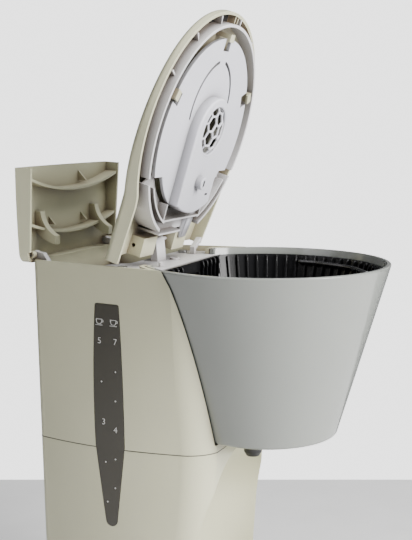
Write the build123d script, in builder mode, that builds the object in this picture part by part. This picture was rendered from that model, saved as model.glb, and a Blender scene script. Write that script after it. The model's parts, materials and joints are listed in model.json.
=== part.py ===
from build123d import *
import os
from math import cos, radians, sin

os.makedirs("parts", exist_ok=True)

# ---------------------------------------------------------------------------
# Driving dimensions, in millimetres
# ---------------------------------------------------------------------------
RIM_Z = 262.0          # rim of the filter bucket and top edge of the housing, above the floor
FILTER_Y = -34.5       # axis of the filter bucket; the machine's front is -Y
RIM_R = 75.0           # outer radius of the bucket's rim
TAPER = 0.2968         # loss of cone radius per millimetre of depth
BUCKET_DEPTH = 104.3
BUCKET_WALL = 2.7
BUCKET_BACK = 56.0     # flat back of the bucket, measured back from its axis
INSERT_TOP = -4.0
INSERT_BACK = 51.2
INSERT_FLOOR = -90.0
INSERT_GAP = 1.2       # between the bucket's inside and the black insert
INSERT_WALL = 1.5
RIB_COUNT = 64
RIB_DEPTH = 2.0
OUTLET_Y = 7.5         # drip outlet, behind the bucket's axis

SEAM = -109.5          # joint between the upper and the lower housing, below the rim
BASE_TOP = -232.0      # top of the base, below the rim
BASE_LOW = -256.0      # lower edge of the base's wall
PLATE_LOW = -258.0     # underside of the base plate; the feet stand below it
FLOOR = -RIM_Z
WALL = 2.5
NICHE_R = 52.5         # hollow that the jug stands in
NICHE_CENTRE = -165.0
BASE_NOSE_R = 62.0      # round front of the base, about the filter axis

HINGE_Y = 73.2         # lid hinge, back from the filter axis
HINGE_Z = 9.57         # and above the rim
LID_OPEN = 73.06       # the lid's opening angle at rest
LID_R = 73.8
LID_TOP = 9.9          # top of the lid above the bucket's axis; it rises towards the hinge
LID_RISE = 0.055       # slope of that rise
LID_CROWN_R = 680.0    # and falls off to both sides
LID_WALL = 2.0
NECK_HALF = 60.0       # half width at the hinge end; the neck widens towards the round part
NECK_SPREAD = 0.072
NECK_Y = 43.5
NECK_BACK = 79.7
RING_R = 67.0
PLATE_R = 58.0
PLATE_BACK_R = 49.4    # the plate and the boss end on this smaller circle near the hinge
BOSS_R = 23.0
BOSS_LOW = -8.3

FLAP_Y = 133.2         # flap hinge
FLAP_Z = 2.75
FLAP_OPEN = 87.0
FLAP_FRONT = 80.6
FLAP_BACK = 138.0
FLAP_HALF = 56.0
GRILLE_Y = -3.0
CROWN_R = 900.0        # the flap's gently crowned top
CROWN_Y = 45.0
CROWN_TOP = 14.4

TANK_FRONT = 71.0
TANK_BACK = 123.5
TANK_HALF = 48.0
TANK_TOP = -16.0
TANK_LOW = -222.0
HOTPLATE_R = 49.0
HOTPLATE_TOP = -230.0
SWITCH_Y = 78.0        # rocker switch in the right flank of the base
SWITCH_Z = -244.0
GLAND_X = -30.0
RISER_X = 43.0         # rising hose, beside the niche
RISER_Y = 46.0
SPOUT = (10.0, 65.2)


# ---------------------------------------------------------------------------
# Helpers: every height is measured from the rim, every depth from the filter axis
# ---------------------------------------------------------------------------
def level(height, x=0.0, y=0.0):
    """A horizontal sketch plane."""
    return Plane(origin=(x, FILTER_Y + y, RIM_Z + height))


def side(x=0.0):
    """A vertical plane facing +X: its x runs back from the filter axis, its y runs up."""
    return Plane(origin=(x, FILTER_Y, RIM_Z), x_dir=(0, 1, 0), z_dir=(1, 0, 0))


def front(y=0.0):
    """A vertical plane facing the front: its x is X, its y runs up."""
    return Plane(origin=(0, FILTER_Y + y, RIM_Z), x_dir=(1, 0, 0), z_dir=(0, -1, 0))


def at(x, y, z):
    return (x, FILTER_Y + y, RIM_Z + z)


FILTER_AXIS = Axis(at(0, 0, 0), (0, 0, 1))
LID_AXIS = Axis(at(0, HINGE_Y, HINGE_Z), (1, 0, 0))
FLAP_AXIS = Axis(at(0, FLAP_Y, FLAP_Z), (1, 0, 0))


def on_lid(piece):
    """Lid pieces are drawn closed and turned to the open rest position."""
    return piece.rotate(LID_AXIS, -LID_OPEN)


def on_flap(piece):
    return piece.rotate(FLAP_AXIS, -FLAP_OPEN)


def bucket_cone(offset, top, bottom, back):
    """A cone parallel to the bucket's wall, cut flat at the back."""
    with BuildPart() as shape:
        with Locations(at(0, 0, bottom)):
            Cone(RIM_R + offset + TAPER * bottom, RIM_R + offset + TAPER * top, top - bottom,
                 align=(Align.CENTER, Align.CENTER, Align.MIN))
        with Locations(at(0, back, 0)):
            Box(400, 200, 400, align=(Align.CENTER, Align.MIN, Align.CENTER), mode=Mode.SUBTRACT)
    return shape.part


def housing_outline(height, inset=0.0):
    """The housing's plan: bowed sides, a sharp back and a rounded front corner."""
    flare = max(0.0, 1.0 - height / SEAM)
    drop = max(0.0, (SEAM - height) / (SEAM - BASE_TOP))
    back = 132.0 + 0.0245 * height - inset
    half_back = 52.0 - inset
    half_side = 58.0 + flare - inset
    half_front = 54.5 + 11.5 * flare - inset
    corner_y = 33.0 + 5.0 * drop
    front_y = 14.5 + 9.5 * drop + inset
    with BuildSketch(level(height)) as outline:
        with BuildLine():
            Line((0, back), (half_back - 5, back))
            ThreePointArc((half_back - 5, back), (half_back - 1.5, back - 1.5), (half_back, back - 5))
            ThreePointArc((half_back, back - 5), (half_side, 83), (half_front, corner_y))
            ThreePointArc((half_front, corner_y), (half_front - 4.5, front_y + 7),
                          (half_front - 14.5, front_y))
            Line((half_front - 14.5, front_y), (0, front_y))
            mirror(about=Plane.YZ)
        make_face()
    return outline.sketch


def housing_block(top, bottom, inset=0.0):
    with BuildPart() as block:
        loft(sections=[housing_outline(bottom, inset), housing_outline(top, inset)])
    return block.part


def bored_tube(points, radii, outer, inner):
    """A tube along straight runs joined by arcs."""
    with BuildPart() as tube:
        with BuildLine() as path:
            FilletPolyline(*points, radius=radii)
        with BuildSketch(Plane(path.line @ 0, z_dir=path.line % 0)):
            Circle(outer)
            if inner:
                Circle(inner, mode=Mode.SUBTRACT)
        sweep()
    return tube.part


# ---------------------------------------------------------------------------
# Housing
# ---------------------------------------------------------------------------
upper_outside = housing_block(0, SEAM)
upper_inside = housing_block(0, SEAM, WALL)
cradle_cut = bucket_cone(0.8, 0, -BUCKET_DEPTH - 0.8, BUCKET_BACK + 0.8)
cradle_back = bucket_cone(0.8 + WALL, 0, -BUCKET_DEPTH - 0.8 - WALL, BUCKET_BACK + 0.8 + WALL)
upper_hollow = upper_inside - cradle_back

WINDOW_Y = 76.4


def window_prism(shrink=0.0):
    """The tall level window's outline: flat top, slow swell, long tapering tail."""
    with BuildPart() as prism:
        with BuildSketch(side(-70)) as outline:
            with BuildLine():
                Line((WINDOW_Y - 8.4, -22), (WINDOW_Y + 8.6, -22))
                ThreePointArc((WINDOW_Y + 8.6, -22), (WINDOW_Y + 10.3, -62), (WINDOW_Y + 9.6, -108))
                Line((WINDOW_Y + 9.6, -108), (WINDOW_Y + 3, -154))
                ThreePointArc((WINDOW_Y + 3, -154), (WINDOW_Y - 1, -157.5), (WINDOW_Y - 5, -154))
                Line((WINDOW_Y - 5, -154), (WINDOW_Y - 10.2, -108))
                ThreePointArc((WINDOW_Y - 10.2, -108), (WINDOW_Y - 9.8, -60), (WINDOW_Y - 8.4, -22))
            make_face()
            fillet(outline.vertices().group_by(Axis.Z)[-1], radius=1.5)
            offset(amount=-shrink)
        extrude(amount=30)
    return prism.part


window_hole = window_prism()

BUCKET_SCREWS = [(-25, -34), (25, -34)]
with BuildPart() as notch_shape:
    with Locations(at(0, INSERT_BACK, -6.2)):
        Box(2 * 45.0, 9.4, 20, align=(Align.CENTER, Align.MIN, Align.MIN))
tongue_notch = notch_shape.part

with BuildPart() as upper_housing:
    add(upper_outside)
    add(cradle_cut, mode=Mode.SUBTRACT)
    add(upper_hollow, mode=Mode.SUBTRACT)
    add(window_hole, mode=Mode.SUBTRACT)
    add(tongue_notch, mode=Mode.SUBTRACT)
    with BuildSketch(front(BUCKET_BACK)):
        with Locations(*BUCKET_SCREWS):
            Circle(1.8)
    extrude(amount=-6, mode=Mode.SUBTRACT)
upper_housing.part.label = "upper_housing"
export_step(upper_housing.part, "parts/upper_housing.step")

with BuildPart() as niche:
    with BuildSketch(front()):
        with BuildLine():
            Line((0, NICHE_CENTRE + NICHE_R), (0, BASE_TOP))
            Line((0, BASE_TOP), (NICHE_R, BASE_TOP))
            Line((NICHE_R, BASE_TOP), (NICHE_R, NICHE_CENTRE))
            CenterArc((0, NICHE_CENTRE), NICHE_R, 0, 90)
        make_face()
    revolve(axis=FILTER_AXIS)
with BuildPart() as niche_wall:
    with BuildSketch(front()):
        with BuildLine():
            Line((0, NICHE_CENTRE + NICHE_R + WALL), (0, BASE_TOP))
            Line((0, BASE_TOP), (NICHE_R + WALL, BASE_TOP))
            Line((NICHE_R + WALL, BASE_TOP), (NICHE_R + WALL, NICHE_CENTRE))
            CenterArc((0, NICHE_CENTRE), NICHE_R + WALL, 0, 90)
        make_face()
    revolve(axis=FILTER_AXIS)

lower_outside = housing_block(SEAM, BASE_TOP)
lower_hollow = housing_block(SEAM, BASE_TOP, WALL) - niche_wall.part

with BuildPart() as lower_housing:
    add(lower_outside)
    add(niche.part, mode=Mode.SUBTRACT)
    add(lower_hollow, mode=Mode.SUBTRACT)
    add(window_hole, mode=Mode.SUBTRACT)
lower_housing.part.label = "lower_housing"
export_step(lower_housing.part, "parts/lower_housing.step")


def base_outline(height, inset=0.0):
    """The base: the housing's plan with a round front that carries the hotplate."""
    with BuildSketch(level(height)) as outline:
        with BuildLine():
            nose = CenterArc((0, 0), BASE_NOSE_R - inset, -90, 94)
            flank = TangentArc(nose @ 1, (52 - inset, 127 - inset), tangent=nose % 1)
            Line(flank @ 1, (0, 127 - inset))
            mirror(about=Plane.YZ)
        make_face()
        fillet(outline.vertices().group_by(Axis.Y)[-1], radius=6)
    return outline.sketch


with BuildPart() as base_shell:
    add(base_outline(BASE_LOW))
    extrude(amount=BASE_TOP - BASE_LOW)
    fillet(base_shell.faces().sort_by(Axis.Z)[-1].outer_wire().edges(), radius=4)
    add(base_outline(BASE_LOW, WALL))
    extrude(amount=BASE_TOP - BASE_LOW - WALL, mode=Mode.SUBTRACT)
    with BuildSketch(level(BASE_TOP - WALL)):
        Circle(HOTPLATE_R + 1.6)
    extrude(amount=WALL, mode=Mode.SUBTRACT)
    with BuildSketch(level(BASE_TOP - WALL)):
        with Locations((0, 92)):
            RectangleRounded(84, 56, 6)
        with Locations((RISER_X - 3, RISER_Y)):
            RectangleRounded(19, 13, 6)
    extrude(amount=WALL, mode=Mode.SUBTRACT)
    with BuildSketch(side(40)):
        with Locations((SWITCH_Y, SWITCH_Z)):
            Rectangle(21.6, 13.6)
    extrude(amount=40, mode=Mode.SUBTRACT)
    with BuildSketch(front(110)):
        with Locations((GLAND_X, SWITCH_Z)):
            Circle(5.1)
    extrude(amount=-40, mode=Mode.SUBTRACT)
base_shell.part.label = "base_shell"
export_step(base_shell.part, "parts/base_shell.step")

FOOT_SPOTS = [(-40, 112), (40, 112), (-38, -28), (38, -28)]
SCREW_SPOTS = [(-48, 60), (48, 60), (-20, 117), (20, 117)]
with BuildPart() as base_plate:
    add(base_outline(PLATE_LOW, WALL + 0.2))
    extrude(amount=2.0)
    with BuildSketch(level(PLATE_LOW)):
        with Locations(*SCREW_SPOTS):
            Circle(1.7)
    extrude(amount=2.0, mode=Mode.SUBTRACT)
    with BuildSketch(level(PLATE_LOW)):
        with GridLocations(8, 24, 5, 1):
            SlotOverall(18, 3, rotation=90)
    extrude(amount=2.0, mode=Mode.SUBTRACT)
    with BuildSketch(level(PLATE_LOW + 2)):
        with Locations(*SCREW_SPOTS):
            Circle(4)
            Circle(1.3, mode=Mode.SUBTRACT)
    extrude(amount=14)
base_plate.part.label = "base_plate"
export_step(base_plate.part, "parts/base_plate.step")

with BuildPart() as rubber_feet:
    with BuildSketch(level(FLOOR)):
        with Locations(*FOOT_SPOTS):
            Circle(7)
    extrude(amount=RIM_Z + PLATE_LOW)
    fillet(rubber_feet.edges().group_by(Axis.Z)[0], radius=1)
rubber_feet.part.label = "rubber_feet"
export_step(rubber_feet.part, "parts/rubber_feet.step")

with BuildPart() as base_screws:
    with BuildSketch(level(PLATE_LOW - 1.8)):
        with Locations(*SCREW_SPOTS):
            Circle(3.2)
    extrude(amount=1.8)
    with BuildSketch(level(PLATE_LOW)):
        with Locations(*SCREW_SPOTS):
            Circle(1.3)
    extrude(amount=12)
    with BuildSketch(level(PLATE_LOW - 1.8)):
        with Locations(*SCREW_SPOTS):
            Rectangle(3.4, 0.8)
            Rectangle(0.8, 3.4)
    extrude(amount=1.0, mode=Mode.SUBTRACT)
base_screws.part.label = "base_screws"
export_step(base_screws.part, "parts/base_screws.step")

# ---------------------------------------------------------------------------
# Water side: tank, level window, strainer, valve, hoses and heater
# ---------------------------------------------------------------------------
OUTLET = (30.0, 100.0)
with BuildPart() as water_tank:
    with Locations(at(0, (TANK_FRONT + TANK_BACK) / 2, TANK_LOW)):
        Box(2 * TANK_HALF, TANK_BACK - TANK_FRONT, TANK_TOP - TANK_LOW,
            align=(Align.CENTER, Align.CENTER, Align.MIN))
    fillet(water_tank.edges().filter_by(Axis.Z), radius=8)
    offset(amount=-1.8, openings=water_tank.faces().sort_by(Axis.Z)[-1])
    with BuildSketch(level(TANK_LOW - 5)):
        with Locations(OUTLET):
            Circle(4.0)
    extrude(amount=5)
    with BuildSketch(level(TANK_LOW - 5)):
        with Locations(OUTLET):
            Circle(2.6)
    extrude(amount=12, mode=Mode.SUBTRACT)
water_tank.part.label = "water_tank"
export_step(water_tank.part, "parts/water_tank.step")

with BuildPart() as level_window:
    add(housing_block(0, SEAM))
    add(housing_block(SEAM, BASE_TOP))
    add(housing_block(0, SEAM, WALL), mode=Mode.SUBTRACT)
    add(housing_block(SEAM, BASE_TOP, WALL), mode=Mode.SUBTRACT)
    add(window_prism(0.25), mode=Mode.INTERSECT)
level_window.part.label = "level_window"
export_step(level_window.part, "parts/level_window.step")

with BuildPart() as tank_strainer:
    with BuildSketch(level(TANK_LOW + 1.8)):
        with Locations(OUTLET):
            Circle(7)
    extrude(amount=12)
    with BuildSketch(level(TANK_LOW + 1.8)):
        with Locations(OUTLET):
            Circle(6)
    extrude(amount=11, mode=Mode.SUBTRACT)
    with BuildSketch(level(TANK_LOW + 4)):
        with Locations(OUTLET):
            with PolarLocations(0, 6):
                Rectangle(20, 1.6)
    extrude(amount=7, mode=Mode.SUBTRACT)
tank_strainer.part.label = "tank_strainer"
export_step(tank_strainer.part, "parts/tank_strainer.step")

HEATER_Z = -241.2
HEATER_R = 36.0
HEATER_TUBE_R = 5.0
HEATER_END = 26.0
BARB_END = 34.0
BARB_R = 3.15
HEATER_SPOTS = [(HEATER_R, HEATER_Z), (-HEATER_R, HEATER_Z)]
with BuildPart() as heater_tube:
    with BuildLine() as heater_path:
        Line(at(HEATER_R, HEATER_END, HEATER_Z), at(HEATER_R, 0, HEATER_Z))
        ThreePointArc(at(HEATER_R, 0, HEATER_Z), at(0, -HEATER_R, HEATER_Z), at(-HEATER_R, 0, HEATER_Z))
        Line(at(-HEATER_R, 0, HEATER_Z), at(-HEATER_R, HEATER_END, HEATER_Z))
    with BuildSketch(front(HEATER_END)):
        with Locations(HEATER_SPOTS[0]):
            Circle(HEATER_TUBE_R)
    sweep()
    with BuildSketch(level(HEATER_Z)):
        Circle(HEATER_R + 4)
        Circle(HEATER_R - 4, mode=Mode.SUBTRACT)
        with Locations((0, 40)):
            Rectangle(100, 80, mode=Mode.SUBTRACT)
    extrude(amount=HOTPLATE_TOP - 1.25 - HEATER_Z)
    with BuildSketch(front(HEATER_END)):
        with Locations(*HEATER_SPOTS):
            Circle(BARB_R)
    extrude(amount=HEATER_END - BARB_END)
    with BuildSketch(front(BARB_END)):
        with Locations(*HEATER_SPOTS):
            Circle(BARB_R - 1.1)
    extrude(amount=BARB_END, mode=Mode.SUBTRACT)
heater_tube.part.label = "heater_tube"
export_step(heater_tube.part, "parts/heater_tube.step")

ELEMENT_R = HEATER_R - HEATER_TUBE_R - 3.6
with BuildPart() as heater_element:
    with BuildLine() as element_path:
        Line(at(ELEMENT_R, 28, HEATER_Z), at(ELEMENT_R, 0, HEATER_Z))
        ThreePointArc(at(ELEMENT_R, 0, HEATER_Z), at(0, -ELEMENT_R, HEATER_Z), at(-ELEMENT_R, 0, HEATER_Z))
        Line(at(-ELEMENT_R, 0, HEATER_Z), at(-ELEMENT_R, 28, HEATER_Z))
    with BuildSketch(front(28)):
        with Locations((ELEMENT_R, HEATER_Z)):
            Circle(3.5)
    sweep()
    with BuildSketch(front(28)):
        with Locations((ELEMENT_R, HEATER_Z), (-ELEMENT_R, HEATER_Z)):
            Circle(1.2)
    extrude(amount=-9)
heater_element.part.label = "heater_element"
export_step(heater_element.part, "parts/heater_element.step")

with BuildPart() as hotplate:
    with BuildSketch(level(HOTPLATE_TOP - 1.2)):
        Circle(HOTPLATE_R)
    extrude(amount=1.2)
    with BuildSketch(level(HOTPLATE_TOP - 4)):
        Circle(HOTPLATE_R)
        Circle(HOTPLATE_R - 1.2, mode=Mode.SUBTRACT)
    extrude(amount=2.8)
    fillet(hotplate.edges().group_by(Axis.Z)[-1], radius=0.8)
hotplate.part.label = "hotplate"
export_step(hotplate.part, "parts/hotplate.step")

with BuildPart() as hotplate_seal:
    with BuildSketch(level(BASE_TOP - WALL)):
        Circle(HOTPLATE_R + 1.6)
        Circle(HOTPLATE_R, mode=Mode.SUBTRACT)
    extrude(amount=WALL)
    with BuildSketch(level(BASE_TOP)):
        Circle(HOTPLATE_R + 3)
        Circle(HOTPLATE_R, mode=Mode.SUBTRACT)
    extrude(amount=1.0)
hotplate_seal.part.label = "hotplate_seal"
export_step(hotplate_seal.part, "parts/hotplate_seal.step")

BAR_Z = HEATER_Z - HEATER_TUBE_R
with BuildPart() as heater_bracket:
    with BuildSketch(level(BAR_Z - 1.5)):
        SlotOverall(92, 12)
        Circle(2.1, mode=Mode.SUBTRACT)
    extrude(amount=1.5)
heater_bracket.part.label = "heater_bracket"
export_step(heater_bracket.part, "parts/heater_bracket.step")

with BuildPart() as bracket_stud:
    with BuildSketch(level(BAR_Z - 7)):
        Circle(2.0)
    extrude(amount=HOTPLATE_TOP - 1.2 - BAR_Z + 7)
    with BuildSketch(level(BAR_Z - 4.7)):
        RegularPolygon(4.0, 6)
    extrude(amount=3.2)
bracket_stud.part.label = "bracket_stud"
export_step(bracket_stud.part, "parts/bracket_stud.step")

with BuildPart() as thermostat:
    with BuildSketch(level(HOTPLATE_TOP - 1.2 - 10)):
        with Locations((0, 18)):
            Circle(7.5)
    extrude(amount=10)
    with BuildSketch(level(HOTPLATE_TOP - 1.2 - 13)):
        with Locations((-4, 18), (4, 18)):
            Rectangle(0.8, 6.3)
    extrude(amount=3)
thermostat.part.label = "thermostat"
export_step(thermostat.part, "parts/thermostat.step")

with BuildPart() as thermal_fuses:
    with BuildSketch(front(-8)):
        with Locations((-10, HOTPLATE_TOP - 4), (10, HOTPLATE_TOP - 4)):
            Circle(2.4)
    extrude(amount=9)
thermal_fuses.part.label = "thermal_fuses"
export_step(thermal_fuses.part, "parts/thermal_fuses.step")

VALVE_Y = 60.0
with BuildPart() as check_valve:
    with BuildSketch(front(VALVE_Y)):
        with Locations((-HEATER_R, HEATER_Z)):
            Circle(6.4)
            Circle(3.2, mode=Mode.SUBTRACT)
    extrude(amount=14)
    with BuildSketch(front(VALVE_Y - 14)):
        with Locations((-HEATER_R, HEATER_Z)):
            Circle(BARB_R)
            Circle(BARB_R - 1.1, mode=Mode.SUBTRACT)
    extrude(amount=6)
    with BuildSketch(front(VALVE_Y)):
        with Locations((-HEATER_R, HEATER_Z)):
            Circle(4.0)
            Circle(2.2, mode=Mode.SUBTRACT)
    extrude(amount=-6)
check_valve.part.label = "check_valve"
export_step(check_valve.part, "parts/check_valve.step")

with BuildPart() as valve_ball:
    with Locations(at(-HEATER_R, VALVE_Y - 6, HEATER_Z)):
        Sphere(2.9)
valve_ball.part.label = "valve_ball"
export_step(valve_ball.part, "parts/valve_ball.step")

HOSE_R = 6.0
HOSE_BORE = 4.05
inlet_route = [at(OUTLET[0], OUTLET[1], TANK_LOW - 1), at(OUTLET[0], OUTLET[1], HEATER_Z),
               at(-HEATER_R, OUTLET[1], HEATER_Z), at(-HEATER_R, VALVE_Y, HEATER_Z)]
inlet_hose_part = bored_tube(inlet_route, 12, HOSE_R, HOSE_BORE)
inlet_hose_part.label = "inlet_hose"
export_step(inlet_hose_part, "parts/inlet_hose.step")

with BuildPart() as valve_sleeve:
    with BuildSketch(front(VALVE_Y - 14)):
        with Locations((-HEATER_R, HEATER_Z)):
            Circle(5.0)
            Circle(BARB_R + 0.05, mode=Mode.SUBTRACT)
    extrude(amount=19)
valve_sleeve.part.label = "valve_sleeve"
export_step(valve_sleeve.part, "parts/valve_sleeve.step")

riser_route = [at(HEATER_R, HEATER_END + 1, HEATER_Z), at(HEATER_R, RISER_Y, HEATER_Z),
               at(RISER_X, RISER_Y, -222), at(RISER_X, RISER_Y + 2, -118), at(40, SPOUT[1], -90),
               at(30, SPOUT[1], -60), at(SPOUT[0], SPOUT[1], -36), at(SPOUT[0], SPOUT[1], -12)]
riser_hose_part = bored_tube(riser_route, [7, 5, 20, 12, 20, 12], 5.0, 3.2)
riser_hose_part.label = "riser_hose"
export_step(riser_hose_part, "parts/riser_hose.step")

# ---------------------------------------------------------------------------
# Electrical side: switch, gland and the leads clipped inside the base
# ---------------------------------------------------------------------------
FLANK_X = 57.7
PIVOT_X = FLANK_X - 4.0
ROCK = 8.0
with BuildPart() as switch_frame:
    with BuildSketch(side(FLANK_X - 10)):
        with Locations((SWITCH_Y, SWITCH_Z)):
            Rectangle(21.2, 13.2)
    extrude(amount=10)
    with BuildSketch(side(FLANK_X)):
        with Locations((SWITCH_Y, SWITCH_Z)):
            RectangleRounded(25, 17, 1.5)
    extrude(amount=1.5)
    with BuildSketch(side(FLANK_X - 8.5)):
        with Locations((SWITCH_Y, SWITCH_Z)):
            Rectangle(18.8, 10.8)
    extrude(amount=12, mode=Mode.SUBTRACT)
    with BuildSketch(level(SWITCH_Z - 6)):
        with Locations((PIVOT_X, SWITCH_Y)):
            Circle(1.05)
    extrude(amount=12, mode=Mode.SUBTRACT)
switch_frame.part.label = "switch_frame"
export_step(switch_frame.part, "parts/switch_frame.step")

with BuildPart() as switch_rocker:
    with BuildSketch(level(SWITCH_Z - 5)):
        with BuildLine():
            Line((FLANK_X - 5.6, SWITCH_Y - 7.2), (FLANK_X + 1.4, SWITCH_Y - 8.2))
            ThreePointArc((FLANK_X + 1.4, SWITCH_Y - 8.2), (FLANK_X + 0.2, SWITCH_Y),
                          (FLANK_X + 1.4, SWITCH_Y + 8.2))
            Line((FLANK_X + 1.4, SWITCH_Y + 8.2), (FLANK_X - 5.6, SWITCH_Y + 7.2))
            Line((FLANK_X - 5.6, SWITCH_Y + 7.2), (FLANK_X - 5.6, SWITCH_Y - 7.2))
        make_face()
    extrude(amount=10)
    with BuildSketch(level(SWITCH_Z - 5.9)):
        with Locations((PIVOT_X, SWITCH_Y)):
            Circle(1.0)
    extrude(amount=11.8)
rocker_off = switch_rocker.part.rotate(Axis(at(PIVOT_X, SWITCH_Y, SWITCH_Z), (0, 0, 1)), -ROCK)
rocker_off.label = "switch_rocker"
export_step(rocker_off, "parts/switch_rocker.step")

with BuildPart() as switch_terminals:
    with BuildSketch(side(FLANK_X - 16)):
        with Locations((SWITCH_Y - 6, SWITCH_Z), (SWITCH_Y + 6, SWITCH_Z)):
            Rectangle(0.8, 4.8)
    extrude(amount=6)
switch_terminals.part.label = "switch_terminals"
export_step(switch_terminals.part, "parts/switch_terminals.step")

with BuildPart() as cord_gland:
    with BuildSketch(front(127)):
        with Locations((GLAND_X, SWITCH_Z)):
            Circle(7)
    extrude(amount=-2.5)
    with BuildSketch(front(127)):
        with Locations((GLAND_X, SWITCH_Z)):
            Circle(5)
    extrude(amount=4.5)
    with BuildSketch(front(122)):
        with Locations((GLAND_X, SWITCH_Z)):
            Circle(3.3)
    extrude(amount=-10, mode=Mode.SUBTRACT)
cord_gland.part.label = "cord_gland"
export_step(cord_gland.part, "parts/cord_gland.step")

LEAD_R = 1.1
LEADS = {
    "lead_live": ([(-28.4, 124, -244), (-28.4, 112, -250), (30, 108, -250), (37, 92, -248),
                   (40.5, 84.5, -245.5)], [5, 8, 8, 2.5]),
    "lead_neutral": ([(-31.6, 124, -244), (-31.6, 112, -251.5), (-26, 58, -251.5), (-27.4, 46, -242),
                      (-27.4, 37.2, HEATER_Z)], [5, 10, 5, 2.5]),
    "lead_heater": ([(40.5, 72, -245.5), (36, 62, -249), (29, 54, -248), (27.4, 46, -242),
                     (27.4, 37.2, HEATER_Z)], [3, 3, 3, 2.5]),
}
for lead_name, (spots, radii) in LEADS.items():
    lead = bored_tube([at(*spot) for spot in spots], radii[:len(spots) - 2], LEAD_R, 0)
    lead.label = lead_name
    export_step(lead, f"parts/{lead_name}.step")

# ---------------------------------------------------------------------------
# Filter bucket, insert and drip stop
# ---------------------------------------------------------------------------
BOSS_BOTTOM = -107.0
with BuildPart() as filter_bucket:
    add(bucket_cone(0, 0, -BUCKET_DEPTH, BUCKET_BACK))
    fillet(filter_bucket.edges().group_by(Axis.Z)[0], radius=2.5)
    fillet(filter_bucket.edges().filter_by(GeomType.CIRCLE).group_by(Axis.Z)[-1], radius=0.8)
    add(bucket_cone(-BUCKET_WALL, 0.5, -BUCKET_DEPTH + 2.5, BUCKET_BACK - BUCKET_WALL),
        mode=Mode.SUBTRACT)
    add(tongue_notch, mode=Mode.SUBTRACT)
    with BuildSketch(level(BOSS_BOTTOM)):
        with Locations((0, OUTLET_Y)):
            Circle(6.6)
    extrude(amount=-BUCKET_DEPTH + 1 - BOSS_BOTTOM)
    with BuildSketch(level(BOSS_BOTTOM)):
        with Locations((0, OUTLET_Y)):
            Circle(4.2)
    extrude(amount=12, mode=Mode.SUBTRACT)
    with BuildSketch(front(BUCKET_BACK)):
        with Locations(*BUCKET_SCREWS):
            Circle(1.2)
    extrude(amount=2.3, mode=Mode.SUBTRACT)
filter_bucket.part.label = "filter_bucket"
export_step(filter_bucket.part, "parts/filter_bucket.step")

with BuildPart() as bucket_screws:
    with BuildSketch(front(BUCKET_BACK + 0.8 + WALL)):
        with Locations(*BUCKET_SCREWS):
            Circle(3)
    extrude(amount=-1.8)
    with BuildSketch(front(BUCKET_BACK + 0.8 + WALL)):
        with Locations(*BUCKET_SCREWS):
            Circle(1.2)
    extrude(amount=5.4)
bucket_screws.part.label = "bucket_screws"
export_step(bucket_screws.part, "parts/bucket_screws.step")

INSERT_OFFSET = -BUCKET_WALL - INSERT_GAP
INSIDE_OFFSET = INSERT_OFFSET - INSERT_WALL
BAIL_Z = -8.0
CHANNEL_NOTCH = (25.0, -10.5)  # width and floor of the notch in the flat ribs for the lid's channel
insert_outside = bucket_cone(INSERT_OFFSET, INSERT_TOP, INSERT_FLOOR, INSERT_BACK)
insert_inside = bucket_cone(INSIDE_OFFSET, INSERT_TOP, INSERT_FLOOR + 2, INSERT_BACK - INSERT_WALL)
rib_core = bucket_cone(INSIDE_OFFSET - RIB_DEPTH, INSERT_TOP, INSERT_FLOOR + 2,
                       INSERT_BACK - INSERT_WALL - RIB_DEPTH)
with BuildPart() as ribs:
    with BuildSketch(level(INSERT_FLOOR + 2)):
        with PolarLocations(56, RIB_COUNT, start_angle=180 / RIB_COUNT):
            Rectangle(40, 1.2)
        with Locations((0, INSERT_BACK)):
            Rectangle(92, 7, mode=Mode.SUBTRACT)
        with Locations((0, INSERT_BACK - 2)):
            with GridLocations(6.3, 1, 14, 1):
                Rectangle(1.2, 6)
    extrude(amount=INSERT_TOP - INSERT_FLOOR - 3)
    with Locations(at(0, INSERT_BACK, CHANNEL_NOTCH[1])):
        Box(CHANNEL_NOTCH[0], 16, 20, align=(Align.CENTER, Align.CENTER, Align.MIN), mode=Mode.SUBTRACT)
    add(insert_inside, mode=Mode.INTERSECT)
    add(rib_core, mode=Mode.SUBTRACT)
with BuildPart() as filter_insert:
    add(insert_outside)
    add(insert_inside, mode=Mode.SUBTRACT)
    add(ribs.part)
    with BuildSketch(level(INSERT_FLOOR)):
        with PolarLocations(26, 12):
            SlotOverall(18, 3)
    extrude(amount=2, mode=Mode.SUBTRACT)
    with BuildSketch(level(-BUCKET_DEPTH + 2.5)):
        with PolarLocations(34, 3, start_angle=30):
            Circle(2.5)
    extrude(amount=BUCKET_DEPTH - 2.5 + INSERT_FLOOR)
    with BuildSketch(side(-80)):
        with Locations((0, BAIL_Z)):
            Circle(1.55)
    extrude(amount=160, mode=Mode.SUBTRACT)
filter_insert.part.label = "filter_insert"
export_step(filter_insert.part, "parts/filter_insert.step")

BAIL_R = 1.4
BAIL_X = 63.4
BAIL_BEND = 63.0
BAIL_ANGLES = [-10, -40, -70, -110, -140, -170]
with BuildPart() as filter_bail:
    bow = [at(BAIL_BEND * cos(radians(turn)), BAIL_BEND * sin(radians(turn)), BAIL_Z) for turn in BAIL_ANGLES]
    with BuildLine() as bail_path:
        FilletPolyline(at(BAIL_X + 5.2, 0, BAIL_Z), at(BAIL_X, 0, BAIL_Z), *bow,
                       at(-BAIL_X, 0, BAIL_Z), at(-BAIL_X - 5.2, 0, BAIL_Z),
                       radius=[1.6, 20, 40, 40, 40, 40, 20, 1.6])
    with BuildSketch(side(BAIL_X + 5.2)):
        with Locations((0, BAIL_Z)):
            Circle(BAIL_R)
    sweep()
filter_bail.part.label = "filter_bail"
export_step(filter_bail.part, "parts/filter_bail.step")

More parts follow.
